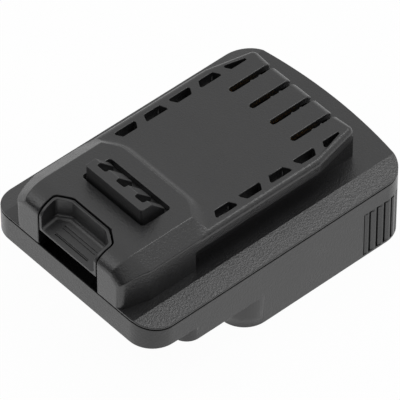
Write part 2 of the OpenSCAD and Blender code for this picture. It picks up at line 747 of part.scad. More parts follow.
// Insulating block under the contact slots, with a cell for each clip and two screwed ears
module clip_carrier() color("#4a4a4c") place() difference() {
    union() {
        translate([-carrier_half, carrier_front, carrier_z]) cube([2 * carrier_half, carrier_l, carrier_h]);
        mirrored() translate([ear_x - ear_l / 2, carrier_front - ear_l, ear_z])
            cube([ear_l, ear_l + cut, ear_t]);
    }
    for (way = [0:way_count - 1]) translate([way_x(way, slot_pitch), 0, 0]) {
        translate([-cell_w / 2, carrier_front + carrier_wall, cell_z]) cube([cell_w, carrier_l, carrier_h]);
        translate([-strip_t / 2 - tail_gap, tail_y - tail_gap, carrier_z - cut])
            cube([strip_t + 2 * tail_gap, tail_l + 2 * tail_gap, carrier_wall + 2 * cut]);
    }
    mirrored() translate([ear_x, ear_y, ear_z - cut])
        cylinder(d = small_screw_d + 2 * screw_gap, h = ear_t + 2 * cut);
}

// Half of a clip's section: base, leaf closing on the blade, and flared mouth
module clip_half_section() {
    nip = blade_t / 2;
    nip_z = clip_h * 0.7;
    polygon([[0, 0], [clip_half, 0], [clip_half, 1.2], [nip + strip_t, nip_z], [nip + 2 * strip_t, clip_h],
        [nip + strip_t, clip_h], [nip, nip_z], [clip_half - strip_t, 1.2], [clip_half - strip_t, strip_t],
        [0, strip_t]]);
}

// Fork contact behind a slot, with a solder tail through the carrier
module clip(way) color("#c7a45a") place() translate([way_x(way, slot_pitch), 0, 0]) {
    translate([0, 0, cell_z]) along(clip_y, clip_y + clip_l) mirrored() clip_half_section();
    translate([-strip_t / 2, tail_y, clip_tail_z])
        cube([strip_t, tail_l, cell_z + strip_t / 2 - clip_tail_z]);
}

module carrier_screws() color("#8d9094") place() mirrored()
    translate([ear_x, ear_y, ear_z - head_h]) screw(small_screw_d, ear_t + small_screw_d * 1.6);

// Outline of a battery blade in y and z: free blade, foot in its block and tail through the floor
module blade_section(gap = 0) polygon([[blade_block_y - blade_l - gap, blade_top_z - blade_h - gap],
    [blade_tail_y + tail_l + gap, blade_top_z - blade_h - gap],
    [blade_tail_y + tail_l + gap, blade_tail_z + gap], [blade_tail_y - gap, blade_tail_z + gap],
    [blade_tail_y - gap, blade_top_z + gap], [blade_block_y - blade_l - gap, blade_top_z + gap]]);

// Insulating block at the end of the socket, with a collar through the floor
module blade_block() color("#4a4a4c") place() difference() {
    union() {
        translate([-blade_block_half, blade_block_y, -ledge_h - blade_block_h])
            cube([2 * blade_block_half, block_l, blade_block_h]);
        translate([-collar_half, blade_block_y + collar_wall, -ledge_h - cut])
            cube([2 * collar_half, block_l - 2 * collar_wall, floor_t + cut]);
    }
    for (way = [0:way_count - 1]) translate([way_x(way, blade_pitch), 0, 0])
        across(blade_t + 2 * tail_gap) blade_section(tail_gap);
    mirrored() translate([block_screw_x, block_screw_y, -ledge_h - blade_block_h + collar_wall])
        cylinder(d = small_screw_d + 2 * screw_gap, h = blade_block_h);
}

module blade(way) color("#c7a45a") place() translate([way_x(way, blade_pitch), 0, 0])
    across(blade_t) blade_section();

module blade_block_screws() color("#8d9094") place() mirrored()
    translate([block_screw_x, block_screw_y, floor_z + head_h]) rotate([180, 0, 0])
        screw(small_screw_d, floor_t + blade_block_h - 3 * collar_wall);

// Lead that lies straight beside a clip's tail and its blade's tail, and bends between them
module lead(way) {
    side = way < way_count / 2 ? -1 : 1;
    from = [way_x(way, slot_pitch) + side * (strip_t / 2 + lead_d / 2 + tail_gap), tail_y + tail_l];
    to = [way_x(way, blade_pitch) + side * (blade_t / 2 + lead_d / 2 + tail_gap), blade_tail_y];
    steps = 6;
    bend = [for (k = [0:steps]) let (t = k / steps, ease = t * t * (3 - 2 * t))
        [from.x + (to.x - from.x) * ease, from.y + (to.y - from.y) * t, wire_z]];
    path = concat([[from.x, tail_y, wire_z]], bend, [[to.x, blade_tail_y + tail_l, wire_z]]);
    color(way_colours[way]) place() tube(path, lead_d / 2, 10);
}

// Screws from below: a short one at each front corner and a long one at each rear corner
module housing_screws() color("#8d9094") place() mirrored() translate([0, 0, head_sink]) {
    spare = head_sink + head_h + cut - pilot_top;
    translate([front_screw.x, front_screw.y, -ledge_h]) screw(screw_d, ledge_h - spare);
    translate([rear_screw.x, rear_screw.y, -base_h]) screw(screw_d, base_h - spare);
}

lower_housing();
upper_cover();
release_latch();
latch_spring(-1);  // latch_spring_left
latch_spring(1);  // latch_spring_right
clip_carrier();
clip(0);  // clip_positive
clip(1);  // clip_signal_a
clip(2);  // clip_signal_b
clip(3);  // clip_negative
carrier_screws();
blade_block();
blade(0);  // blade_positive
blade(1);  // blade_signal_a
blade(2);  // blade_signal_b
blade(3);  // blade_negative
blade_block_screws();
lead(0);  // lead_positive
lead(1);  // lead_signal_a
lead(2);  // lead_signal_b
lead(3);  // lead_negative
housing_screws();
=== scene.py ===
"""Looks of a slide-on battery adapter for cordless tools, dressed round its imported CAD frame.

The mouldings and stampings are edge-rounded copies of their CAD solids. Geometry Nodes grow what
repeats or follows a path: the coils of the latch springs, the screws and the leads. Every finish
is procedural.
"""

import logging
import math
from dataclasses import dataclass
from enum import Enum
from typing import Any, Callable, Mapping, Protocol

import bmesh
import bpy
from mathutils import Matrix, Vector


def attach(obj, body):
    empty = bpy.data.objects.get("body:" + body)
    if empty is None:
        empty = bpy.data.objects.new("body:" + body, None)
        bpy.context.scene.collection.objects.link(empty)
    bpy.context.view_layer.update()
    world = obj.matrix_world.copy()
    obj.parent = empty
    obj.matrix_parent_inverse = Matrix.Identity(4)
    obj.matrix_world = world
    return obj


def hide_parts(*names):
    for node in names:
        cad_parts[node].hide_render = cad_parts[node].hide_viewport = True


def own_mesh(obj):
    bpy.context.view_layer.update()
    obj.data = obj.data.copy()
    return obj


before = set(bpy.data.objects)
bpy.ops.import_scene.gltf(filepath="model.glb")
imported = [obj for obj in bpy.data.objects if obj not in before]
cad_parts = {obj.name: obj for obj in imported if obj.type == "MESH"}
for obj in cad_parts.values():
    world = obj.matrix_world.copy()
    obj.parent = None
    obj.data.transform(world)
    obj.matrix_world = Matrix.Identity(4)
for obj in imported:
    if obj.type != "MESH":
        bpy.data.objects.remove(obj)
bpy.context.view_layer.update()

LOG = logging.getLogger("battery_adapter")
MM = 0.001
WHITE = (1.0, 1.0, 1.0, 1.0)
Pair = tuple[float, float]
Triple = tuple[float, float, float]
Colour = Triple
Rule = Callable[[Vector], float]
Crease = Callable[[Vector], bool]
Reshape = Callable[[Vector], Vector]


def linear(code: str) -> Colour:
    """Turns a screen colour into the linear light that Blender works with.

    Args:
        code: Colour as six hexadecimal digits.

    Returns:
        Red, green and blue in linear light.
    """
    shares = [int(code[i : i + 2], 16) / 255 for i in (0, 2, 4)]
    red, green, blue = (
        s / 12.92 if s <= 0.04045 else ((s + 0.055) / 1.055) ** 2.4 for s in shares
    )
    return red, green, blue


def scaled(colour: Colour, factor: float) -> Colour:
    """Makes a colour lighter or darker by a factor."""
    red, green, blue = (channel * factor for channel in colour)
    return red, green, blue


class Body(Enum):
    """CAD body that a piece moves with."""

    HOUSING = "housing"
    LATCH = "latch"


class Way(Enum):
    """One of the four electric ways through the adapter, in order from the left."""

    POSITIVE = 0
    SIGNAL_A = 1
    SIGNAL_B = 2
    NEGATIVE = 3

    @property
    def node(self) -> str:
        """Ending of this way's CAD node names."""
        return self.name.lower()

    def offset(self, pitch: float) -> float:
        """Gives this way's distance from the middle plane at a spacing.

        Args:
            pitch: Spacing of the ways.

        Returns:
            Distance along x.
        """
        return (self.value - (len(Way) - 1) / 2) * pitch


class Term:
    """Number in a node tree, which takes part in Python arithmetic."""

    def __init__(self, graph: "Graph", socket: bpy.types.NodeSocket) -> None:
        """Keeps the tree and the socket that the number comes from."""
        self.graph = graph
        self.socket = socket

    def _join(self, operation: str, first: Any, second: Any) -> "Term":
        """Adds a Math node over two numbers."""
        return self.graph.term("ShaderNodeMath", {"operation": operation}, {0: first, 1: second})

    def __add__(self, other: Any) -> "Term":
        """Adds."""
        return self._join("ADD", self, other)

    def __radd__(self, other: Any) -> "Term":
        """Adds, with the number on the left."""
        return self._join("ADD", other, self)

    def __sub__(self, other: Any) -> "Term":
        """Subtracts."""
        return self._join("SUBTRACT", self, other)

    def __rsub__(self, other: Any) -> "Term":
        """Subtracts from the number on the left."""
        return self._join("SUBTRACT", other, self)

    def __mul__(self, other: Any) -> "Term":
        """Multiplies."""
        return self._join("MULTIPLY", self, other)

    def __rmul__(self, other: Any) -> "Term":
        """Multiplies, with the number on the left."""
        return self._join("MULTIPLY", other, self)

    def __truediv__(self, other: Any) -> "Term":
        """Divides."""
        return self._join("DIVIDE", self, other)

    def least(self, other: Any) -> "Term":
        """Gives the smaller of two numbers."""
        return self._join("MINIMUM", self, other)

    def most(self, other: Any) -> "Term":
        """Gives the larger of two numbers."""
        return self._join("MAXIMUM", self, other)

    def wave(self, operation: str) -> "Term":
        """Gives the sine or cosine, as the operation says."""
        return self._join(operation, self, 0.0)

    def swing(self, span: float) -> "Term":
        """Turns a share from 0 to 1 into a change of that span about zero."""
        return span * (self - 0.5)


class Graph:
    """Node tree that is filled from code."""

    def __init__(self, tree: bpy.types.NodeTree) -> None:
        """Keeps the tree."""
        self.tree = tree

    def node(
        self,
        kind: str,
        settings: Mapping[str, Any] | None = None,
        sockets: Mapping[Any, Any] | None = None,
    ) -> bpy.types.Node:
        """Adds a node.

        Args:
            kind: Type of the node.
            settings: Properties of the node, which are set first.
            sockets: Values or links of its inputs, by name or by number.

        Returns:
            The new node.
        """
        made = self.tree.nodes.new(kind)
        for key, value in (settings or {}).items():
            setattr(made, key, value)
        for key, value in (sockets or {}).items():
            self.put(made.inputs[key], value)
        return made

    def put(self, target: bpy.types.NodeSocket, value: Any) -> None:
        """Links a term to an input, or sets a plain value there.

        Args:
            target: Input of a node.
            value: Term or value.
        """
        if isinstance(value, Term):
            self.tree.links.new(value.socket, target)
        else:
            target.default_value = value

    def term(
        self,
        kind: str,
        settings: Mapping[str, Any] | None = None,
        sockets: Mapping[Any, Any] | None = None,
        output: Any = 0,
    ) -> Term:
        """Adds a node and gives one of its outputs.

        Args:
            kind: Type of the node.
            settings: Properties of the node.
            sockets: Values or links of its inputs.
            output: Name or number of the output.

        Returns:
            The output, ready for arithmetic.
        """
        return Term(self, self.node(kind, settings, sockets).outputs[output])


class Surface(Graph):
    """Material whose Principled shader is fed from code."""

    EVEN: Triple = (1.0, 1.0, 1.0)
    SOFT, FINE = 2.0, 3.0
    NOISE_ROUGHNESS = 0.55
    FIRST_COLOUR, SECOND_COLOUR, MIXED_COLOUR = 6, 7, 2

    def __init__(self, name: str) -> None:
        """Makes a material of that name with an empty Principled shader."""
        self.material = bpy.data.materials.new(name)
        self.material.use_nodes = True
        super().__init__(self.material.node_tree)
        self.shader = self.tree.nodes["Principled BSDF"]
        self.place = self.term("ShaderNodeTexCoord", output="Object")

    def noise(self, size: float, detail: float = SOFT, stretch: Triple = EVEN) -> Term:
        """Adds a noise over the piece.

        Args:
            size: Size of its patches in metres.
            detail: Number of finer layers.
            stretch: Factor on each axis; a small one draws the patches out.

        Returns:
            The noise, from 0 to 1.
        """
        vector = self.place
        if stretch != self.EVEN:
            vector = self.term("ShaderNodeMapping", None, {"Vector": self.place, "Scale": stretch})
        sockets = {
            "Vector": vector,
            "Scale": 1 / size,
            "Detail": detail,
            "Roughness": self.NOISE_ROUGHNESS,
        }
        return self.term("ShaderNodeTexNoise", None, sockets)

    def tinted(self, share: Term, colour: Colour, tints: Pair) -> Term:
        """Mixes two tints of a colour.

        Args:
            share: Weight of the second tint.
            colour: Colour to tint.
            tints: Factors on the colour.

        Returns:
            The mixed colour.
        """
        first, second = ((*scaled(colour, tint), 1.0) for tint in tints)
        sockets = {"Factor": share, self.FIRST_COLOUR: first, self.SECOND_COLOUR: second}
        return self.term("ShaderNodeMix", {"data_type": "RGBA"}, sockets, self.MIXED_COLOUR)

    def bump(self, height: Term, depth: float) -> Term:
        """Turns a height into a normal.

        Args:
            height: Height from 0 to 1.
            depth: What a height of 1 measures, in metres.

        Returns:
            The bumped normal.
        """
        sockets = {"Height": height, "Distance": depth, "Strength": 1.0}
        return self.term("ShaderNodeBump", None, sockets, "Normal")

    def feed(self, **sockets: Any) -> bpy.types.Material:
        """Sets the shader's sockets, whose names are written with underscores.

        Args:
            sockets: Values or terms.

        Returns:
            The finished material.
        """
        for name, value in sockets.items():
            self.put(self.shader.inputs[name.replace("_", " ")], value)
        return self.material


class Finish(Protocol):
    """Anything that can make a material for a record slot."""

    slot: str

    def material(self) -> bpy.types.Material:
        """Makes the material."""


@dataclass(frozen=True)
class MouldedPlastic:
    """Dark plastic with the fine spark-eroded grain of its mould.

    Its tint mixes shares of grain, pits and cloud, its gloss follows cloud and grain, and its
    relief mixes grain and pits.
    """

    slot: str
    colour: Colour
    roughness: float
    grain: float = 0.5 * MM
    depth: float = 0.12 * MM
    index: float = 1.68
    pit_ratio: float = 1.7
    cloud: float = 9 * MM
    tints: Pair = (0.72, 1.35)
    mottle: Triple = (0.55, 0.25, 0.35)
    mottle_shift: float = 0.1
    gloss: Pair = (0.1, 0.08)
    relief: Pair = (0.7, 0.3)

    def material(self) -> bpy.types.Material:
        """Makes the grained plastic: sandy bump, faint mottling and patches of uneven shine."""
        surface = Surface(self.slot)
        grain = surface.noise(self.grain, surface.FINE)
        sockets = {"Vector": surface.place, "Scale": 1 / (self.pit_ratio * self.grain)}
        pits = surface.term("ShaderNodeTexVoronoi", None, sockets, "Distance")
        cloud = surface.noise(self.cloud)
        of_grain, of_pits, of_cloud = self.mottle
        shade = of_grain * grain + of_pits * pits + of_cloud * cloud - self.mottle_shift
        by_cloud, by_grain = self.gloss
        high, low = self.relief
        return surface.feed(
            Base_Color=surface.tinted(shade, self.colour, self.tints),
            Roughness=self.roughness + cloud.swing(by_cloud) + grain.swing(by_grain),
            Normal=surface.bump(high * grain + low * pits, self.depth),
            IOR=self.index,
        )


@dataclass(frozen=True)
class StampedMetal:
    """Metal strip or wire with fine drawn lines along one axis, its gloss by lines and tarnish."""

    slot: str
    colour: Colour
    roughness: float
    lines: Triple = (1.0, 0.06, 1.0)
    line_size: float = 0.16 * MM
    line_depth: float = 0.004 * MM
    tarnish_size: float = 2.4 * MM
    tints: Pair = (0.82, 1.1)
    gloss: Pair = (0.16, 0.12)

    def material(self) -> bpy.types.Material:
        """Makes the metal: drawn lines in bump and gloss, with faint tarnish."""
        surface = Surface(self.slot)
        drawn = surface.noise(self.line_size, stretch=self.lines)
        tarnish = surface.noise(self.tarnish_size, surface.FINE)
        by_lines, by_tarnish = self.gloss
        return surface.feed(
            Base_Color=surface.tinted(tarnish, self.colour, self.tints),
            Metallic=1.0,
            Roughness=self.roughness + drawn.swing(by_lines) + tarnish.swing(by_tarnish),
            Normal=surface.bump(drawn, self.line_depth),
        )


@dataclass(frozen=True)
class WireInsulation:
    """Smooth coloured insulation of a lead."""

    slot: str
    colour: Colour
    roughness: float = 0.42
    ripple_size: float = 0.6 * MM
    ripple_depth: float = 0.01 * MM
    ripple_run: Triple = (1.0, 0.2, 1.0)
    tints: Pair = (0.86, 1.08)
    gloss: float = 0.1

    def material(self) -> bpy.types.Material:
        """Makes the insulation: slightly waxy, with a faint ripple from its extrusion."""
        surface = Surface(self.slot)
        ripple = surface.noise(self.ripple_size, stretch=self.ripple_run)
        return surface.feed(
            Base_Color=surface.tinted(ripple, self.colour, self.tints),
            Roughness=self.roughness + ripple.swing(self.gloss),
            Normal=surface.bump(ripple, self.ripple_depth),
        )


class Palette:
    """The finishes by record slot, and the bare copper of the leads, each made once."""

    FINISHES: tuple[Finish, ...] = (
        MouldedPlastic("housing_plastic", linear("1e1e1f"), 0.3, index=1.58),
        MouldedPlastic("cover_plastic", linear("1e1e1f"), 0.3),
        MouldedPlastic("latch_plastic", linear("202021"), 0.38, 0.36 * MM, 0.06 * MM),
        MouldedPlastic("insulator_plastic", linear("303033"), 0.5, 0.5 * MM, 0.012 * MM),
        StampedMetal("spring_steel", linear("c9cacc"), 0.28, (0.3, 0.3, 1.0)),
        StampedMetal("contact_brass", linear("d6b56c"), 0.3),
        StampedMetal("screw_steel", linear("b4b7bb"), 0.34, (1.0, 1.0, 0.2)),
        StampedMetal("bare_copper", linear("d08a63"), 0.36),
        WireInsulation("lead_red", linear("b3241f")),
        WireInsulation("lead_white", linear("d8d4c8")),
        WireInsulation("lead_yellow", linear("c9a227")),
        WireInsulation("lead_black", linear("1c1c1e")),
    )

    def __init__(self) -> None:
        """Makes every material."""
        self.materials = {finish.slot: finish.material() for finish in self.FINISHES}

    def __getitem__(self, slot: str) -> bpy.types.Material:
        """Gives the material of a slot."""
        return self.materials[slot]


class Workshop:
    """Turns meshes into pieces that ride on the frame."""

    MERGE = 0.02 * MM
    FLAT_ANGLE, EDGE_ANGLE, CRISP_ANGLE = (math.radians(angle) for angle in (0.5, 24, 35))
    WIDEST = 2.0
    SEGMENTS = 3

    def __init__(self, palette: Palette) -> None:
        """Keeps the finishes."""
        self.palette = palette

    def settle(
        self, piece: bpy.types.Object, body: Body, slot: str, nodes: tuple[str, ...]
    ) -> bpy.types.Object:
        """Puts a finished piece on its body in place of its CAD nodes.

        Args:
            piece: Object at the origin, with its place in its mesh.
            body: Body that carries it.
            slot: Record slot of its finish; not used.
            nodes: CAD nodes that it stands for.

        Returns:
            The same piece.
        """
        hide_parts(*nodes)
        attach(piece, body.value)
        LOG.info("%s: %d faces on %s", piece.name, len(piece.data.polygons), body.value)
        return piece

    def blank(
        self, name: str, points: list[Vector] | None = None, linked: bool = True
    ) -> bpy.types.Object:
        """Makes an object that holds points, or a path through them.

        Args:
            name: Name of the object.
            points: Places of its vertices.
            linked: Whether each point is joined to the next.

        Returns:
            The new object, in the scene.
        """
        mesh = bpy.data.meshes.new(name)
        places = points or []
        edges = [(k, k + 1) for k in range(len(places) - 1)] if linked else []
        mesh.from_pydata(places, edges, [])
        made = bpy.data.objects.new(name, mesh)
        bpy.context.scene.collection.objects.link(made)
        return made

    def freeze(self, piece: bpy.types.Object) -> bpy.types.Object:
        """Turns a piece with modifiers into a plain mesh.

        Args:
            piece: Object with modifiers.

        Returns:
            The same object with the result as its mesh.
        """
        bpy.context.view_layer.update()
        seen = piece.evaluated_get(bpy.context.evaluated_depsgraph_get())
        mesh = bpy.data.meshes.new_from_object(seen)
        piece.modifiers.clear()
        piece.data = mesh
        mesh.name = piece.name
        return piece

    def rounded(
        self,
        name: str,
        node: str,
        slot: str,
        rule: Rule | float,
        crease: Crease | None = None,
        reshape: Reshape | None = None,
    ) -> bpy.types.Object:
        """Copies a CAD solid and rounds its outer edges.

        Args:
            name: Name of the new piece.
            node: CAD node to copy.
            slot: Record slot of its finish.
            rule: Rounding in millimetres, or a rule that gives it for an edge's middle.
            crease: Tells from an edge's middle whether it stays crisp though its faces meet flatly.
            reshape: Says where a point goes before the edges are rounded.

        Returns:
            The rounded piece, not yet on a body.
        """
        piece = self.blank(name)
        shape = bmesh.new()
        shape.from_mesh(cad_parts[node].data)
        bmesh.ops.remove_doubles(shape, verts=shape.verts, dist=self.MERGE)
        for point in shape.verts if reshape else ():
            point.co = reshape(point.co / MM) * MM
        bmesh.ops.dissolve_limit(
            shape,
            angle_limit=self.FLAT_ANGLE,
            verts=shape.verts,
            edges=shape.edges,
            delimit=set(),
        )
        weight = shape.edges.layers.float.new("bevel_weight_edge")
        for edge in shape.edges:
            outer = len(edge.link_faces) == 2 and edge.is_convex
            if outer and edge.calc_face_angle() > self.EDGE_ANGLE:
                middle = (edge.verts[0].co + edge.verts[1].co) / (2 * MM)
                edge[weight] = (rule(middle) if callable(rule) else rule) / self.WIDEST
        shape.to_mesh(piece.data)
        shape.free()
        piece.data.materials.append(self.palette[slot])
        bevel = piece.modifiers.new("rounding", "BEVEL")
        bevel.limit_method, bevel.offset_type = "WEIGHT", "OFFSET"
        bevel.width, bevel.segments = self.WIDEST * MM, self.SEGMENTS
        bevel.use_clamp_overlap = False
        piece.data.shade_smooth()
        piece.data.set_sharp_from_angle(angle=self.CRISP_ANGLE)
        for edge in piece.data.edges if crease else ():
            ends = [piece.data.vertices[k].co for k in edge.vertices]
            edge.use_edge_sharp |= crease((ends[0] + ends[1]) / (2 * MM))
        weighted = piece.modifiers.new("flat_faces", "WEIGHTED_NORMAL")
        weighted.keep_sharp = True
        return self.freeze(piece)


class GrownShape(Graph):
    """Geometry Nodes tree with named inputs, which grows one kind of piece."""

    CRISP_ANGLE = math.radians(40)

    def __init__(self, name: str) -> None:
        """Starts a tree that takes and gives geometry."""
        super().__init__(bpy.data.node_groups.new(name, "GeometryNodeTree"))
        for way in ("INPUT", "OUTPUT"):
            self.tree.interface.new_socket(
                "Geometry", in_out=way, socket_type="NodeSocketGeometry"
            )
        self.entry = self.node("NodeGroupInput")
        self.identifiers: dict[str, str] = {}

    @property
    def geometry(self) -> Term:
        """Geometry of the object that the tree works on."""
        return Term(self, self.entry.outputs["Geometry"])

    def size(self, name: str, kind: str = "NodeSocketFloat") -> Term:
        """Adds a named input.

        Args:
            name: Name of the input.
            kind: Type of its socket.

        Returns:
            The input's value.
        """
        made = self.tree.interface.new_socket(name, in_out="INPUT", socket_type=kind)
        self.identifiers[name] = made.identifier
        return Term(self, self.entry.outputs[name])

    def sweep(self, path: Term, radius: Term, sides: int) -> Term:
        """Sweeps a round section along a path.

        Args:
            path: Curve to follow.
            radius: Radius of the section.
            sides: Number of its sides.

        Returns:
            The closed tube.
        """
        section = {"Resolution": sides, "Radius": radius}
        ring = self.term("GeometryNodeCurvePrimitiveCircle", None, section, "Curve")
        sockets = {"Curve": path, "Profile Curve": ring, "Fill Caps": True}
        return self.term("GeometryNodeCurveToMesh", None, sockets)

    def close(self, *parts: tuple[Term, bpy.types.Material]) -> None:
        """Makes each part real, gives it its finish and ends the tree.

        Args:
            parts: Shapes with their materials.
        """
        joined = self.node("GeometryNodeJoinGeometry")
        for shape, material in parts:
            real = self.term("GeometryNodeRealizeInstances", None, {"Geometry": shape})
            sockets = {"Geometry": real, "Material": material}
            dressed = self.term("GeometryNodeSetMaterial", None, sockets)
            self.tree.links.new(dressed.socket, joined.inputs["Geometry"])
        self.node("NodeGroupOutput", None, {"Geometry": Term(self, joined.outputs["Geometry"])})

    def grow(
        self, workshop: Workshop, piece: bpy.types.Object, sizes: Mapping[str, Any]
    ) -> bpy.types.Object:
        """Runs the tree on a piece.

        Args:
            workshop: Freezes the result.
            piece: Object whose mesh the tree starts from.
            sizes: Values of the named inputs.

        Returns:
            The same piece, as a plain mesh.
        """
        modifier = piece.modifiers.new(self.tree.name, "NODES")
        modifier.node_group = self.tree
        for name, value in sizes.items():
            modifier[self.identifiers[name]] = value
        workshop.freeze(piece)
        piece.data.shade_smooth()
        piece.data.set_sharp_from_angle(angle=self.CRISP_ANGLE)
        return piece


@dataclass
class Shells:
    """Upper cover and lower housing of the adapter, sizes in millimetres."""

    workshop: Workshop
    deck: float = 29.5
    deck_half: float = 32.0
    deck_slack: float = 0.1
    inner_half: float = 20.7
    inner_reach: Pair = (-45.0, 41.8)
    inner_top: float = 40.7
    rim_half: float = 31.0
    rim_reach: Pair = (-57.0, 50.0)
    rim_round: float = 0.16
    parting: float = 26.0
    step_half: float = 25.0
    step_reach: float = 4.0
    step_round: float = 0.05
    cover_round: float = 0.28
    lip: float = 25.0
    lip_round: float = 0.12
    ledge: float = 20.5
    foot: float = 0.5
    housing_round: float = 0.3
    rail_front: float = -28.2
    rail_rear: float = 44.4
    rail_top: float = 43.0
    rail_edge: float = 2.0
    rail_slack: float = 0.01
    edge_growth: float = 0.5
    edge_reach: Pair = (17.5, 23.0)
    corner: Pair = (30.0, 45.464)
    corner_r: float = 10.0
    flute_count: int = 6
    flute_front: float = 34.0
    flute_round: float = 0.03
    flute_start: float = -8.264
    flute_pitch: float = 3.25
    flute_depth: float = 0.9
    flute_skin: float = 0.15
    flute_slack: float = 0.05
    flute_line: float = 0.6
    flute_top: float = 20.1
    lead_pitch: float = 2.2
    lead_line: float = 0.3
    line_growth: float = 0.5
    lead_growth: float = 0.3

    def cover_rule(self, place: Vector) -> float:
        """Gives the rounding of the cover's edges.

        Args:
            place: Middle of an edge, in millimetres.

        Returns:
            Rounding in millimetres.
        """
        x, y, z = abs(place.x), place.y, place.z
        front, rear = self.inner_reach
        if x < self.inner_half and front < y < rear and z < self.inner_top:
            return 0.0
        front, rear = self.rim_reach
        if z < self.deck + self.deck_slack and (x > self.rim_half or y < front or y > rear):
            return self.rim_round if z > self.parting else 0.0
        if z < self.parting:
            return 0.0
        front, rear = self.rail_front - self.step_reach, self.rail_front + self.step_reach
        if x > self.step_half and front < y < rear:
            return self.step_round
        return self.cover_round

    def housing_rule(self, place: Vector) -> float:
        """Gives the rounding of the housing's edges.

        Args:
            place: Middle of an edge, in millimetres.

        Returns:
            Rounding in millimetres.
        """
        if place.z >= self.lip:
            return self.lip_round
        if place.z > self.ledge:
            return 0.0
        fluted = abs(place.x) > self.corner[0] and place.y > self.flute_front
        return self.flute_round if fluted and place.z > self.foot else self.housing_round

    def band_crease(self, place: Vector) -> bool:
        """Tells whether an edge lies where the deck meets a sloping band.

        Args:
            place: Middle of an edge, in millimetres.

        Returns:
            Whether it stays crisp.
        """
        across, above = abs(place.x) - self.deck_half, place.z - self.deck
        return abs(across) < self.deck_slack and abs(above) < self.deck_slack

    def softened(self, place: Vector) -> Vector:
        """Draws the rounding of the rail's rear edge out over the fingers.

        Args:
            place: A point of the cover, in millimetres.

        Returns:
            Where the point goes.
        """
        back, drop = self.rail_rear - place.y, self.rail_top - place.z
        if max(back, drop) > self.rail_edge + self.rail_slack:
            return place
        if min(back, drop) < -self.rail_slack:
            return place
        inner, outer = self.edge_reach
        share = min(max((outer - abs(place.x)) / (outer - inner), 0.0), 1.0)
        growth = self.edge_growth * share
        return place - Vector((0.0, back * growth, drop * growth))

    def opened(self, place: Vector) -> Vector:
        """Opens the dark lines along the front and the top of the grip flutes.

        Args:
            place: A point of the housing, in millimetres.

        Returns:
            Where the point goes.
        """
        slack = self.flute_slack
        if not 0.0 < place.z < self.flute_top + slack:
            return place
        for number in range(-1, self.flute_count):
            pitch, line, growth = self.flute_pitch, self.flute_line, self.line_growth
            if number < 0:
                pitch, line, growth = self.lead_pitch, self.lead_line, self.lead_growth
            run = self.flute_start + number * pitch
            turn = max(run, 0.0) / self.corner_r
            outwards = Vector((math.cos(turn), math.sin(turn)))
            onwards = outwards.orthogonal()
            root = Vector(self.corner) + outwards * self.corner_r + onwards * min(run, 0.0)
            reach = Vector((abs(place.x), place.y)) - root
            depth, along = -reach.dot(outwards), reach.dot(onwards)
            inside = -slack < depth < self.flute_depth + slack
            if not inside or not -slack < along < pitch - slack:
                continue
            on_line = depth > self.flute_skin and abs(along - line) < slack
            on_head = along > line - slack and abs(place.z - self.flute_top + line) < slack
            step = onwards * (growth if on_line else 0.0)
            sideways = math.copysign(1.0, place.x) * step.x
            return place + Vector((sideways, step.y, -growth if on_head else 0.0))
        return place

    def build(self) -> list[bpy.types.Object]:
        """Makes both shells.

        Returns:
            The two pieces.
        """
        shop = self.workshop
        cover = shop.rounded(
            "cover_moulding",
            "upper_cover",
            "cover_plastic",
            self.cover_rule,
            crease=self.band_crease,
            reshape=self.softened,
        )
        housing = shop.rounded(
            "housing_moulding",
            "lower_housing",
            "housing_plastic",
            self.housing_rule,
            reshape=self.opened,
        )
        return [
            shop.settle(cover, Body.HOUSING, "cover_plastic", ("upper_cover",)),
            shop.settle(housing, Body.HOUSING, "housing_plastic", ("lower_housing",)),
        ]


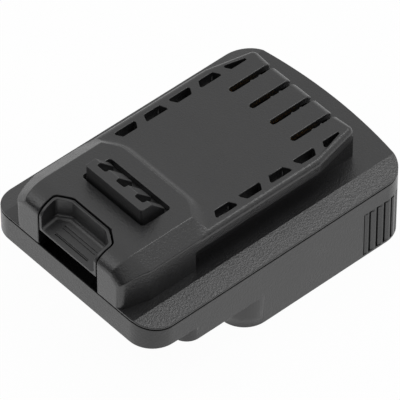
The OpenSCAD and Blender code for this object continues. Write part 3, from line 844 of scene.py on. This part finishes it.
@dataclass
class Latch:
    """Release latch and its two springs, sizes in millimetres."""

    workshop: Workshop
    spring_x: float = 11.0
    spring_y: float = -33.8
    spring_foot: float = 26.5
    spring_length: float = 12.0
    coil_radius: float = 3.1
    coil_points: int = 320
    wire_radius: float = 0.4
    wire_sides: int = 10
    turns: float = 5.0
    closed_turns: float = 0.75
    travel: float = 5.0
    tray_rear: float = -46.5
    tray_front: float = -57.4
    tray_half: float = 11.0
    tray_wall: float = 41.6
    tray_round: float = 0.25
    tooth_round: float = 0.2
    tray_lip: float = -57.9
    tray_back: float = -48.6
    tray_floor: Pair = (36.1, 38.2)
    tray_slope: float = 0.22

    def edge_rule(self, place: Vector) -> float:
        """Gives the rounding of the latch's edges.

        Args:
            place: Middle of an edge, in millimetres.

        Returns:
            Rounding in millimetres.
        """
        if place.y >= self.tray_rear:
            return self.tooth_round
        inside = abs(place.x) < self.tray_half and place.z < self.tray_wall
        return 0.0 if inside and place.y > self.tray_front else self.tray_round

    def scooped(self, place: Vector) -> Vector:
        """Lets the floor of the finger tray fall towards its lip.

        Args:
            place: A point of the latch, in millimetres.

        Returns:
            Where the point goes.
        """
        low, high = self.tray_floor
        if not low < place.z < high or place.y > self.tray_back:
            return place
        return place + Vector((0.0, 0.0, self.tray_slope * (place.y - self.tray_lip)))

    def coil(self) -> GrownShape:
        """Makes the tree of a pressure spring whose end turns lie closed.

        Returns:
            The tree, with its sizes as named inputs.
        """
        tree = GrownShape("pressure_spring")
        foot, height = tree.size("Foot", "NodeSocketVector"), tree.size("Height")
        radius, wire = tree.size("Coil Radius"), tree.size("Wire Radius")
        turns, closed = tree.size("Turns"), tree.size("Closed Turns")
        line = tree.term("GeometryNodeMeshLine", None, {"Count": self.coil_points})
        turn = tree.term("GeometryNodeInputIndex") * turns / (self.coil_points - 1)
        pitch = (height - 2 * wire - 4 * wire * closed) / (turns - 2 * closed)
        ends = turn.least(closed) + (turn - turns + closed).most(0.0)
        middle = (turn - closed).most(0.0).least(turns - 2 * closed)
        rise = wire + 2 * wire * ends + pitch * middle
        angle = turn * math.tau
        sockets = {"X": radius * angle.wave("COSINE"), "Y": radius * angle.wave("SINE"), "Z": rise}
        place = tree.term("ShaderNodeCombineXYZ", None, sockets)
        sockets = {"Geometry": line, "Position": place}
        wound = tree.term("GeometryNodeSetPosition", None, sockets)
        path = tree.term("GeometryNodeMeshToCurve", None, {"Mesh": wound})
        sockets = {"Geometry": tree.sweep(path, wire, self.wire_sides), "Translation": foot}
        coil = tree.term("GeometryNodeTransform", None, sockets)
        tree.close((coil, self.workshop.palette["spring_steel"]))
        return tree

    def build(self) -> list[bpy.types.Object]:
        """Makes the latch and its springs.

        Returns:
            The three pieces.
        """
        shop = self.workshop
        latch = shop.rounded(
            "latch_moulding",
            "release_latch",
            "latch_plastic",
            self.edge_rule,
            reshape=self.scooped,
        )
        made = [shop.settle(latch, Body.LATCH, "latch_plastic", ("release_latch",))]
        tree = self.coil()
        for side, name in ((-1, "left"), (1, "right")):
            foot = Vector((side * self.spring_x, self.spring_y, self.spring_foot)) * MM
            sizes = {
                "Foot": foot,
                "Height": self.spring_length * MM,
                "Coil Radius": self.coil_radius * MM,
                "Wire Radius": self.wire_radius * MM,
                "Turns": self.turns,
                "Closed Turns": self.closed_turns,
            }
            spring = tree.grow(shop, shop.blank(f"spring_{name}"), sizes)
            shop.settle(spring, Body.HOUSING, "spring_steel", (f"latch_spring_{name}",))
            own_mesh(spring)
            made.append(spring)
        return made


@dataclass
class Contacts:
    """Clips, blades, their insulating blocks and the leads between them, sizes in millimetres.

    Blocks and strips are listed with the rounding of their edges.
    """

    workshop: Workshop
    clip_pitch: float = 10.0
    blade_pitch: float = 9.0
    strip: float = 0.5
    blade: float = 0.8
    lead_radius: float = 1.1
    lead_sides: int = 20
    core_radius: float = 0.75
    core_sides: int = 14
    bare_share: float = 0.16
    clearance: float = 0.1
    clip_tail: Pair = (31.5, 35.5)
    blade_tail: Pair = (40.0, 44.0)
    wire_height: float = 24.25
    wire_steps: int = 24
    blocks: tuple[tuple[str, float], ...] = (("clip_carrier", 0.25), ("blade_block", 0.35))
    strips: tuple[tuple[str, float], ...] = (("clip", 0.1), ("blade", 0.2))
    lead_slots: tuple[str, ...] = ("lead_red", "lead_white", "lead_yellow", "lead_black")

    def lead_tree(self, slot: str) -> GrownShape:
        """Makes the tree of an insulated lead with bare ends.

        Args:
            slot: Record slot of its insulation.

        Returns:
            The tree, with its sizes as named inputs.
        """
        tree = GrownShape(f"{slot}_tree")
        names = ("Outer Radius", "Core Radius", "Bare Share")
        outer, core, bare = (tree.size(name) for name in names)
        path = tree.term("GeometryNodeMeshToCurve", None, {"Mesh": tree.geometry})
        sockets = {"Curve": path, "Start": bare, "End": 1 - bare}
        sleeve_path = tree.term("GeometryNodeTrimCurve", None, sockets)
        palette = self.workshop.palette
        sleeve = tree.sweep(sleeve_path, outer, self.lead_sides)
        wire = tree.sweep(path, core, self.core_sides)
        tree.close((sleeve, palette[slot]), (wire, palette["bare_copper"]))
        return tree

    def lead_path(self, way: Way) -> list[Vector]:
        """Gives the middle line of a lead.

        Args:
            way: Way that the lead belongs to.

        Returns:
            Points in metres, from the clip's tail to the blade's tail.
        """
        side = math.copysign(1.0, way.offset(self.clip_pitch))
        reach = self.lead_radius + self.clearance
        start = way.offset(self.clip_pitch) + side * (self.strip / 2 + reach)
        end = way.offset(self.blade_pitch) + side * (self.blade / 2 + reach)
        path = [Vector((start, self.clip_tail[0], self.wire_height))]
        for k in range(self.wire_steps + 1):
            share = k / self.wire_steps
            ease = share * share * (3 - 2 * share)
            y = self.clip_tail[1] + (self.blade_tail[0] - self.clip_tail[1]) * share
            path.append(Vector((start + (end - start) * ease, y, self.wire_height)))
        path.append(Vector((end, self.blade_tail[1], self.wire_height)))
        return [point * MM for point in path]

    def build(self) -> list[bpy.types.Object]:
        """Makes the contact pieces of all four ways and their blocks.

        Returns:
            The pieces.
        """
        shop = self.workshop
        made = []
        for node, width in self.blocks:
            block = shop.rounded(f"{node}_moulding", node, "insulator_plastic", width)
            made.append(shop.settle(block, Body.HOUSING, "insulator_plastic", (node,)))
        for way, slot in zip(Way, self.lead_slots):
            for kind, width in self.strips:
                node = f"{kind}_{way.node}"
                strip = shop.rounded(f"{node}_stamping", node, "contact_brass", width)
                made.append(shop.settle(strip, Body.HOUSING, "contact_brass", (node,)))
            sizes = {
                "Outer Radius": self.lead_radius * MM,
                "Core Radius": self.core_radius * MM,
                "Bare Share": self.bare_share,
            }
            lead = shop.blank(f"lead_{way.node}_wire", self.lead_path(way))
            self.lead_tree(slot).grow(shop, lead, sizes)
            made.append(shop.settle(lead, Body.HOUSING, slot, (f"lead_{way.node}",)))
        return made


@dataclass
class ScrewSet:
    """Screws of one length that stand at several places, sizes in millimetres.

    The dome lists shares of the head's radius with heights, the flank the heights of a thread
    turn's foot and crest as shares of the pitch, and the tip shares of the shank's radius with
    distances from the end in diameters.
    """

    workshop: Workshop
    name: str
    node: str
    diameter: float
    length: float
    places: tuple[Triple, ...]
    points_up: bool = True
    head_ratio: float = 1.9
    head_height: float = 2.0
    head_chamfer: float = 0.15
    dome: tuple[Pair, ...] = ((0.0, 0.0), (0.72, 0.0), (0.9, 0.14), (0.98, 0.4), (1.0, 0.75))
    pitch_ratio: float = 0.32
    root_ratio: float = 0.8
    plain_ratio: float = 0.5
    thread_gap: float = 0.1
    flank: Pair = (0.4, 0.7)
    tip: tuple[Pair, ...] = ((0.75, 0.3), (0.3, 0.0), (0.0, 0.0))
    sides: int = 24
    merge: float = 0.002
    recess_parts: float = 5.0
    short_arm: float = 0.98

    def profile(self) -> list[Pair]:
        """Gives half of the screw's outline, from the middle of its head to its tip.

        Returns:
            Pairs of radius and height in millimetres.
        """
        head, shank = self.diameter * self.head_ratio / 2, self.diameter / 2
        top, chamfer = self.head_height, self.head_chamfer
        outline = [(head * share, height) for share, height in self.dome]
        outline += [(head, top - chamfer), (head - chamfer, top), (shank, top)]
        pitch, root = self.diameter * self.pitch_ratio, shank * self.root_ratio
        foot, crest = self.flank
        for k in range(int((self.length - self.diameter * self.plain_ratio) / pitch)):
            low = top + self.thread_gap + k * pitch
            outline += [(root, low), (root, low + pitch * foot), (shank, low + pitch * crest)]
        end = top + self.length
        outline += [(shank * share, end - self.diameter * rest) for share, rest in self.tip]
        return outline

    def pattern(self) -> bpy.types.Object:
        """Makes one screw with a crossed recess, head at the origin and tip upwards.

        Returns:
            The screw's object.
        """
        screw = self.workshop.blank(f"{self.name}_pattern")
        shape = bmesh.new()
        points = [shape.verts.new((r * MM, 0, z * MM)) for r, z in self.profile()]
        edges = [shape.edges.new(pair) for pair in zip(points, points[1:])]
        bmesh.ops.spin(
            shape,
            geom=points + edges,
            axis=(0, 0, 1),
            cent=(0, 0, 0),
            angle=math.tau,
            steps=self.sides,
            use_merge=True,
        )
        bmesh.ops.remove_doubles(shape, verts=shape.verts, dist=self.merge * MM)
        bmesh.ops.recalc_face_normals(shape, faces=shape.faces)
        shape.to_mesh(screw.data)
        shape.free()
        cutter = self.workshop.blank(f"{self.name}_recess")
        cross = bmesh.new()
        arm, narrow = self.diameter, self.diameter / self.recess_parts
        for sizes in ((arm, narrow), (narrow, arm * self.short_arm)):
            box = bmesh.ops.create_cube(cross, size=1.0)["verts"]
            bmesh.ops.scale(cross, vec=Vector((*sizes, self.head_height)) * MM, verts=box)
        cross.to_mesh(cutter.data)
        cross.free()
        cut = screw.modifiers.new("recess", "BOOLEAN")
        cut.operation, cut.object = "DIFFERENCE", cutter
        cut.solver, cut.use_self = "EXACT", True
        self.workshop.freeze(screw)
        bpy.data.objects.remove(cutter)
        return screw

    def tree(self) -> GrownShape:
        """Makes the tree that stands a screw at each point.

        Returns:
            The tree, with the screw and its turn as named inputs.
        """
        tree = GrownShape(f"{self.name}_tree")
        pattern = tree.size("Screw", "NodeSocketObject")
        turn = tree.size("Turn", "NodeSocketRotation")
        screw = tree.term("GeometryNodeObjectInfo", None, {"Object": pattern}, "Geometry")
        sockets = {"Points": tree.geometry, "Instance": screw, "Rotation": turn}
        stood = tree.term("GeometryNodeInstanceOnPoints", None, sockets)
        tree.close((stood, self.workshop.palette["screw_steel"]))
        return tree

    def build(self) -> bpy.types.Object:
        """Makes the screws.

        Returns:
            One piece that holds them all.
        """
        shop = self.workshop
        points = [Vector(place) * MM for place in self.places]
        pattern = self.pattern()
        turn = (0.0, 0.0, 0.0) if self.points_up else (math.pi, 0.0, 0.0)
        piece = shop.blank(self.name, points, linked=False)
        self.tree().grow(shop, piece, {"Screw": pattern, "Turn": turn})
        bpy.data.objects.remove(pattern)
        return shop.settle(piece, Body.HOUSING, "screw_steel", (self.node,))


@dataclass(frozen=True)
class ViewPoint:
    """Place of the camera round the adapter, angles in degrees and lengths in millimetres."""

    azimuth: float = 48.56
    elevation: float = 46.24
    distance: float = 1785.4
    target: Triple = (0.0, 0.54, 29.5)
    right: float = -1.337
    up: float = -6.624
    lens: float = 492.9
    sensor: float = 36.0
    nearest: float = 100.0
    farthest: float = 20000.0

    def build(self) -> bpy.types.Object:
        """Makes the camera.

        Returns:
            The scene's camera.
        """
        a, e = math.radians(self.azimuth), math.radians(self.elevation)
        back = Vector((math.sin(a) * math.cos(e), -math.cos(a) * math.cos(e), math.sin(e)))
        right = Vector((math.cos(a), math.sin(a), 0))
        up = back.cross(right)
        data = bpy.data.cameras.new("photo_camera")
        data.lens, data.sensor_width, data.sensor_fit = self.lens, self.sensor, "AUTO"
        data.clip_start, data.clip_end = self.nearest * MM, self.farthest * MM
        camera = bpy.data.objects.new("photo_camera", data)
        place = Vector(self.target) + back * self.distance + right * self.right + up * self.up
        turn = Matrix((right, up, back)).transposed().to_4x4()
        camera.matrix_world = Matrix.Translation(place * MM) @ turn
        bpy.context.scene.collection.objects.link(camera)
        bpy.context.scene.camera = camera
        return camera


@dataclass(frozen=True)
class SoftLight:
    """Square softbox that faces the adapter, lengths in metres."""

    name: str
    place: Triple
    side: float
    radiance: float

    def build(self) -> bpy.types.Object:
        """Makes the lamp.

        Returns:
            The lamp's object.
        """
        data = bpy.data.lights.new(self.name, "AREA")
        data.shape, data.size = "SQUARE", self.side
        data.energy = self.radiance * math.pi * self.side * self.side
        lamp = bpy.data.objects.new(self.name, data)
        lamp.location = self.place
        lamp.rotation_mode = "QUATERNION"
        lamp.rotation_quaternion = (-Vector(self.place)).to_track_quat("-Z", "Y")
        bpy.context.scene.collection.objects.link(lamp)
        return lamp


@dataclass
class Studio:
    """White sweep, room light and softboxes, lengths in metres."""

    lights: tuple[SoftLight, ...] = (
        SoftLight("overhead_softbox", (0.1, 0.55, 1.05), 0.36, 3.8),
        SoftLight("front_fill", (-0.55, -0.55, 0.85), 0.5, 1.0),
        SoftLight("rear_window", (-0.62, 1.0, 0.25), 0.45, 0.3),
    )
    floor_side: float = 8.0
    floor_drop: float = 0.3 * MM
    floor_white: float = 0.9
    seen_white: float = 0.97
    bright_side: Triple = (-0.25, 0.45, 0.85)
    fade: Pair = (0.0, 0.35)
    dim: float = 0.05
    bright: float = 0.73

    def floor(self) -> bpy.types.Object:
        """Makes the floor, white to the eye and in reflections, with a faint shadow kept.

        Returns:
            The floor's object.
        """
        mesh = bpy.data.meshes.new("sweep")
        half, low = self.floor_side / 2, -self.floor_drop
        corners = [(-half, -half, low), (half, -half, low), (half, half, low), (-half, half, low)]
        mesh.from_pydata(corners, [], [(0, 1, 2, 3)])
        sweep = bpy.data.objects.new("sweep", mesh)
        bpy.context.scene.collection.objects.link(sweep)
        material = bpy.data.materials.new("sweep_paper")
        material.use_nodes = True
        graph = Graph(material.node_tree)
        graph.tree.nodes.clear()
        shade = (self.floor_white, self.floor_white, self.floor_white, 1.0)
        paper = graph.term("ShaderNodeBsdfDiffuse", None, {"Color": shade})
        white = graph.term("ShaderNodeEmission", None, {"Color": WHITE, "Strength": 1.0})
        share = self.seen(graph) * self.seen_white
        both = graph.term("ShaderNodeMixShader", None, {"Fac": share, 1: paper, 2: white})
        graph.node("ShaderNodeOutputMaterial", None, {"Surface": both})
        mesh.materials.append(material)
        return sweep

    def seen(self, graph: Graph) -> Term:
        """Tells rays that see the backdrop from those that carry its light.

        Args:
            graph: Tree to add to.

        Returns:
            1 for camera, glossy and transmission rays, and 0 for others.
        """
        path = graph.node("ShaderNodeLightPath")
        names = ("Is Camera Ray", "Is Glossy Ray", "Is Transmission Ray")
        camera, glossy, through = (Term(graph, path.outputs[name]) for name in names)
        return camera.most(glossy).most(through)

    def room(self) -> bpy.types.World:
        """Makes the room light: bright above and left behind, dim low in front and on the right.

        Returns:
            The scene's world.
        """
        world = bpy.data.worlds.new("studio_room")
        world.use_nodes = True
        graph = Graph(world.node_tree)
        graph.tree.nodes.clear()
        ray = graph.term("ShaderNodeTexCoord", output="Generated")
        side = Vector(self.bright_side).normalized()
        settings = {"operation": "DOT_PRODUCT"}
        facing = graph.term("ShaderNodeVectorMath", settings, {0: ray, 1: side}, "Value")
        low, high = self.fade
        sockets = {
            "Value": facing,
            "From Min": low,
            "From Max": high,
            "To Min": self.dim,
            "To Max": self.bright,
        }
        settings = {"interpolation_type": "SMOOTHSTEP"}
        strength = graph.term("ShaderNodeMapRange", settings, sockets)
        sky = graph.term("ShaderNodeBackground", None, {"Color": WHITE, "Strength": strength})
        graph.node("ShaderNodeOutputWorld", None, {"Surface": sky})
        bpy.context.scene.world = world
        return world

    def build(self) -> None:
        """Makes the floor, the room light and the lamps."""
        self.floor()
        self.room()
        for light in self.lights:
            light.build()
        bpy.context.scene.view_settings.view_transform = "Standard"


def screw_sets(workshop: Workshop) -> list[ScrewSet]:
    """Gives the adapter's screws by length and place.

    Args:
        workshop: Makes their pieces.

    Returns:
        The sets, not yet built.
    """
    housing = ("housing_screws", 3.0)
    small = 2.5
    front = ((-30.5, -48.5, 18.9), (30.5, -48.5, 18.9))
    rear = ((-33.95, 41.46, 0.4), (33.95, 41.46, 0.4))
    carrier = ((-13.0, 21.55, 29.0), (13.0, 21.55, 29.0))
    block = ((-20.25, 42.0, 22.9), (20.25, 42.0, 22.9))
    return [
        ScrewSet(workshop, "front_screws", *housing, 5.2, front),
        ScrewSet(workshop, "rear_screws", *housing, 23.7, rear),
        ScrewSet(workshop, "carrier_ear_screws", "carrier_screws", small, 6.5, carrier),
        ScrewSet(workshop, "blade_mount_screws", "blade_block_screws", small, 9.4, block, False),
    ]


def main() -> None:
    """Builds the view, the pieces and the studio, and logs each piece's face count and the number
    of pieces.
    """
    logging.basicConfig(level=logging.INFO, format="%(name)s: %(message)s")
    ViewPoint().build()
    workshop = Workshop(Palette())
    pieces = Shells(workshop).build() + Latch(workshop).build() + Contacts(workshop).build()
    pieces += [screws.build() for screws in screw_sets(workshop)]
    Studio().build()
    LOG.info("%d pieces", len(pieces))


if __name__ == "__main__":
    main()
